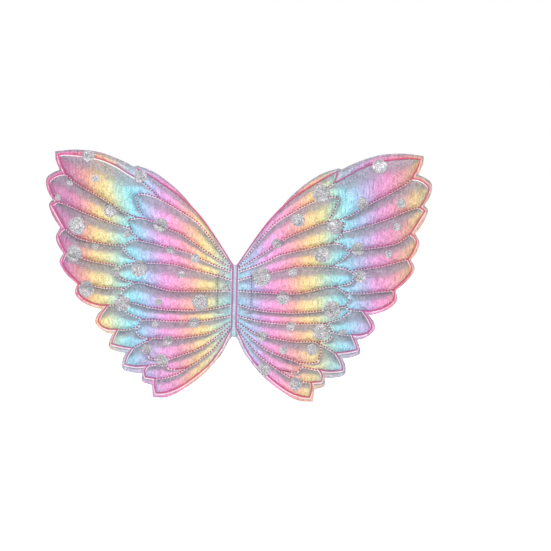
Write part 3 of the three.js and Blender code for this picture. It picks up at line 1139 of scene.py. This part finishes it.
def backing_felt(name, side):
    """The felt behind one wing, pulled in a little along every seam. Also gives its flat area."""
    edge = wing_edge(LINE_STEP)
    outline = smooth_loop(OUTLINE_SEAM, LINE_STEP)
    lines = [rejoined(outline)] + feather_seams(LINE_STEP)
    points, triangles, _ = flat_mesh(edge, lines, FELT_SPACING)
    back = BACKING_BACK - FELT_DIMPLE * closeness(points, np.vstack(lines), FELT_DIMPLE_REACH)
    front = np.full(len(points), BACKING_FRONT)
    piece = thin_sheet(name, side, points, triangles, front, back, felt())
    return piece, flat_area(points, triangles)


def strip_sheet(name, half_width, low, high, front, back, dip, material):
    """An upright strip that is centred on the spine, with its front dipping along its middle."""
    columns = np.linspace(-half_width, half_width, 9)
    rows = np.linspace(low, high, 60)
    points = np.array([(x, z) for z in rows for x in columns])
    triangles = []
    for r in range(len(rows) - 1):
        for c in range(len(columns) - 1):
            a = r * len(columns) + c
            b = a + len(columns)
            triangles += [[a, a + 1, b + 1], [a, b + 1, b]]
    fronts = front + dip * np.cos(points[:, 0] / half_width * math.pi / 2) ** 2
    backs = np.full(len(points), back)
    return thin_sheet(name, 1, points, triangles, fronts, backs, material)


PATCH_CORNER = 4.0
PATCH_DIMPLE = 0.4
PATCH_DIMPLE_REACH = 1.1
PATCH_GAP = 0.05  # keeps its back inside the CAD patch
PATCH_SPACING = 1.4


def rounded_half_patch():
    """The outline of one half of the back patch, from the spine outwards."""
    corner = []
    for step in range(ARC_STEPS + 1):
        angle = math.pi / 2 * step / ARC_STEPS
        corner.append((PATCH_SIDE - PATCH_CORNER * (1 - math.cos(angle)),
                       PATCH_TOP - PATCH_CORNER * (1 - math.sin(angle))))
    lower = [(x, -z) for x, z in corner]
    return [(0, -PATCH_TOP)] + lower[::-1] + corner + [(0, PATCH_TOP)]


def half_patch(name, side):
    """One half of the felt patch, dimpled along its stitches. Also gives them and its flat area."""
    run = rounded_half_patch()
    edge = resampled(rejoined(run), 1.0)[:-1]
    seam_x = PATCH_SEAM[0][0]
    top = PATCH_TOP - (PATCH_SIDE - seam_x)
    line = resampled(np.array([(0.6, top), (seam_x, top), (seam_x, -top), (0.6, -top)]), 1.0)
    points, triangles, _ = flat_mesh(edge, [line], PATCH_SPACING)
    back = PATCH_BACK - PATCH_GAP - PATCH_DIMPLE * closeness(points, line, PATCH_DIMPLE_REACH)
    front = np.full(len(points), PATCH_FRONT)
    piece = thin_sheet(name, side, points, triangles, front, back, felt())
    level = PATCH_BACK - PATCH_GAP - PATCH_DIMPLE
    stitches = running_stitches(line, side, lambda x, z: level, PATCH_STITCH_SIZE, forward=1)
    thread = joined(name + "_stitches", stitches, grey_thread())
    return piece, thread, flat_area(points, triangles)


# A strap's loop, as in the CAD part: each point is (out from the spine, up).
STRAP_LOOP = [
    (22.3, 13), (36, 13), (62, 12.5), (90, 3), (113, -21), (124, -52), (115, -75), (92, -80),
    (68, -63), (50, -38), (40, -20), (34, -13), (22.3, -13),
]
TWIST_LENGTH = 30  # over which it turns from flat to upright
RIBS = 11
RIB_HEIGHT = 0.07
THINNED_EDGE = 1 / 14  # the share of its width over which each edge thins
EDGE_THICKNESS = 0.45  # and to what share of its thickness


def strap_sizes():
    """A strap tail's start, and a strap's middle level, width and thickness, in millimetres."""
    low, high = (Vector(corner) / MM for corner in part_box("right_strap_upper_tail"))
    return low.x, (low.y + high.y) / 2, high.z - low.z, high.y - low.y


def strap_section(width, thickness):
    """Points round a ribbed elastic's section, as shares across it and depths."""
    across = 4 * RIBS
    upper = []
    for k in range(across + 1):
        share = k / across - 0.5
        rib = RIB_HEIGHT * abs(math.sin(math.pi * RIBS * (share + 0.5)))
        edge = min(1, (0.5 - abs(share)) / THINNED_EDGE)
        thinned = EDGE_THICKNESS + (1 - EDGE_THICKNESS) * edge
        depth = (thickness / 2 - RIB_HEIGHT) * thinned + rib * edge
        upper.append((share * width, depth))
    lower = [(u, -v) for u, v in upper[::-1]]
    return upper + lower


def elastic_strap(name, side):
    """A strap from one sewn end round its loop to the other. Also gives its length."""
    start, level, width, thickness = strap_sizes()
    loop = smooth_line(STRAP_LOOP, 2.5)
    tail = smooth_line([(start, STRAP_LOOP[0][1]), STRAP_LOOP[0]], 2.5)
    lower = tail * (1, -1)
    path = np.vstack([tail[:-1], loop, lower[::-1][1:]])
    first, last = len(tail) - 1, len(tail) + len(loop) - 2
    along = lengths_along(path)
    section = strap_section(width, thickness)
    rings = []
    for (x, z), (tx, tz), s in zip(path, directions(path), along):
        share = min(max(min(s - along[first], along[last] - s) / TWIST_LENGTH, 0), 1)
        twist = math.pi / 2 * share * share * (3 - 2 * share)
        wide = Vector((-tz * math.cos(twist), math.sin(twist), tx * math.cos(twist)))
        thin = Vector((-tz * math.sin(twist), -math.cos(twist), tx * math.sin(twist)))
        centre = Vector((x, level + width / 2 * math.sin(twist), z))
        ring = [centre + wide * u + thin * v for u, v in section]
        rings.append([(side * v.x, v.y, v.z) for v in ring])
    return joined(name, [skin(rings)], elastic()), along[-1]


# ---- Assembly ----

CHANNEL_FRONT = SEAM_LEVEL - 0.15
CHANNEL_DIP = 0.6  # how far its middle lies behind its edges
CHANNEL_LEAN = 0.05  # the marks that the face fabric's material reads: a low lean for a little painted reflection, and CHANNEL_SHINE, a distance below a seam, for a faint painted highlight
CHANNEL_SHINE = 0.9
FELT_BEND = (1, 2.5)  # the felt's bend span given to bends, as multiples of the hinge's place; nothing bends the felt
PATCH_BEND = (1, 3)  # and the patch's, which nothing bends either
STRAP_BEND = (0.0212, 0.027)  # an elastic's bend span given to bends, out from the spine in metres; nothing bends it


def stands_for(piece, kind, *nodes):
    """Hides the CAD nodes that a piece takes the place of. piece and kind, its material slot, are not
    used.
    """
    if nodes:
        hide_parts(*nodes)


def bends(piece, inner, outer, start, end):
    """Bakes a piece's place into its mesh; nothing bends it. inner, outer, start and end are not
    used.
    """
    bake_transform(piece)


def spine_strips():
    """The channel of face fabric between the wings and the strip of felt behind it."""
    heights = coordinate("spine_face", 0, 2), coordinate("spine_face", 1, 2)
    channel = strip_sheet("spine_channel", HINGE_X, *heights, CHANNEL_FRONT, FOAM_BACK,
                          CHANNEL_DIP, face_fabric())
    mark(channel, "lean", [CHANNEL_LEAN] * len(channel.data.vertices))
    mark(channel, "below_seam", [CHANNEL_SHINE] * len(channel.data.vertices))
    strip = strip_sheet("spine_felt", HINGE_X, *heights, BACKING_FRONT, BACKING_BACK, 0, felt())
    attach(channel, "spine")
    stands_for(channel, "face_fabric", "spine_face")
    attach(strip, "spine")
    stands_for(strip, "backing_fabric", "spine_backing")
    return [channel, strip]


def face_and_threads(name, side):
    """One wing's quilted face, with every thread and dot on it. Gives the face."""
    face = quilted_face(f"{name}_quilted_face", side, seed=5 + side)
    surface = Surface(face)
    outline = joined(f"{name}_outline_satin", [satin_band(outline_loop, side, surface.front)],
                     pink_thread())
    stitches = []
    behind = [satin_band(clear_of_spine(outline_loop), side, felt_back, forward=1,
                         height=BOBBIN_BAND_HEIGHT, closed=False)]
    for line in feather_seams(SEAM_STEP):
        stitches += running_stitches(line, side, surface.front, under=DOTS[name])
        behind += running_stitches(clear_of_spine(line), side, felt_back, BOBBIN_STITCH_SIZE,
                                   forward=1)
    feathers = joined(f"{name}_feather_stitches", stitches, stitch_thread())
    bobbin = joined(f"{name}_bobbin_stitches", behind, bobbin_thread())
    patch_line = smooth_line(PATCH_SEAM, 1)
    patch_seam = joined(f"{name}_patch_seam",
                        running_stitches(patch_line, side, surface.front, PATCH_SEAM_STITCH_SIZE,
                                         length=PATCH_SEAM_STITCH_LENGTH),
                        grey_thread())
    rng = np.random.default_rng(20 + side)
    cloth_and_band = Surface(face, outline)
    dots = joined(f"{name}_glitter_dots",
                  [glitter_dot(*dot, side, cloth_and_band, rng) for dot in DOTS[name]],
                  silver_glitter())
    for piece in (face, outline, feathers, bobbin, patch_seam, dots):
        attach(piece, f"{name}_wing")
    stands_for(face, "face_fabric", f"{name}_face", f"{name}_foam")
    stands_for(outline, "satin_thread", f"{name}_outline_stitching")
    stands_for(feathers, "satin_thread", f"{name}_feather_stitching")
    stands_for(bobbin, "satin_thread")
    stands_for(patch_seam, "patch_thread", f"{name}_patch_stitching")
    stands_for(dots, "face_fabric")
    return face


def felt_and_patch(name, side):
    """The felt behind one wing and that wing's half of the patch. Gives the half patch."""
    hinge = side * HINGE_X * MM
    felt_piece, felt_area = backing_felt(f"{name}_backing_felt", side)
    bends(felt_piece, "spine", f"{name}_wing", *(share * hinge for share in FELT_BEND))
    stands_for(felt_piece, "backing_fabric", f"{name}_backing")
    patch, patch_thread, patch_area = half_patch(f"{name}_back_patch", side)
    for piece in (patch, patch_thread):
        bends(piece, "spine", f"{name}_wing", *(share * hinge for share in PATCH_BEND))
    stands_for(patch, "backing_fabric", "back_patch")
    stands_for(patch_thread, "patch_thread")
    return patch


def shoulder_strap(name, side):
    """One elastic strap, sewn under the patch."""
    strap, strap_length = elastic_strap(f"{name}_elastic_strap", side)
    bends(strap, f"{name}_wing", f"{name}_strap_loop", *(side * place for place in STRAP_BEND))
    stands_for(strap, "elastic", f"{name}_strap", f"{name}_strap_upper_tail",
               f"{name}_strap_lower_tail")


half_wing = half_wing_mesh()
outline_loop = smooth_loop(OUTLINE_SEAM, SEAM_STEP)
spine_pieces = spine_strips()
for wing_name, wing_side in SIDES.items():
    wing_face = face_and_threads(wing_name, wing_side)
    wing_patch = felt_and_patch(wing_name, wing_side)
    shoulder_strap(wing_name, wing_side)

# ---- Camera, light and floor ----

CAMERA_DISTANCE = 1.2
CAMERA_AZIMUTH = math.radians(3.6)
CAMERA_ROLL = 0.02
VIEW_WIDTH = 0.635  # how much of the scene's width the picture takes in
SENSOR = 36
look_at = Vector((0.0470, HINGE_Y * MM, 0.0181))
back = Vector((math.sin(CAMERA_AZIMUTH), -math.cos(CAMERA_AZIMUTH), 0))
camera_data = bpy.data.cameras.new("camera")
camera_data.sensor_width = SENSOR
camera_data.lens = SENSOR * CAMERA_DISTANCE / VIEW_WIDTH
camera = add_object("camera", camera_data)
camera.location = look_at + back * CAMERA_DISTANCE
camera.rotation_mode = "QUATERNION"
turn = (-back).to_track_quat("-Z", "Y")
camera.rotation_quaternion = turn @ Quaternion((0, 0, 1), CAMERA_ROLL)
bpy.context.scene.camera = camera


SKY = [(0.0, 1.0), (0.36, 1.0), (0.56, 0.34), (0.90, 0.34), (0.97, 3.0)]
LIGHTS_AIM = Vector((0, 0, 0.02))


def studio_world():
    """White all round at eye level, greyer above, and bright right overhead."""
    world = bpy.data.worlds.new("studio")
    nodes = Nodes(world)
    height = nodes.axis(nodes.place("Generated"), "Z")
    sky = nodes.ramp(height, [(at, (brightness,) * 3) for at, brightness in SKY])
    nodes.put(nodes.named("Background"), Color=sky, Strength=1.0)
    bpy.context.scene.world = world


def area_light(name, place, size, watts):
    data = bpy.data.lights.new(name, "AREA")
    data.shape = "SQUARE"
    data.size = size
    data.energy = watts
    obj = add_object(name, data)
    obj.location = place
    obj.rotation_mode = "QUATERNION"
    obj.rotation_quaternion = (LIGHTS_AIM - Vector(place)).to_track_quat("-Z", "Y")


def pale_floor(height):
    bpy.ops.mesh.primitive_plane_add(size=60, location=(0, 0, height))
    floor = bpy.context.object
    floor.name = "floor"
    nodes = new_material("pale_floor")
    nodes.put(nodes.named("Principled BSDF"), Base_Color=(0.8, 0.8, 0.8), Roughness=1.0,
              Emission_Color=(1.0, 1.0, 1.0), Emission_Strength=0.55)
    floor.data.materials.append(nodes.owner)
    floor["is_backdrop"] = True


studio_world()
area_light("key", (-0.5, -1.4, -0.05), size=0.8, watts=9)
area_light("top", (0.1, -0.35, 1.3), size=0.5, watts=11)
pale_floor(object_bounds()[0][2] - 0.0005)
bpy.context.scene.view_settings.view_transform = "Standard"
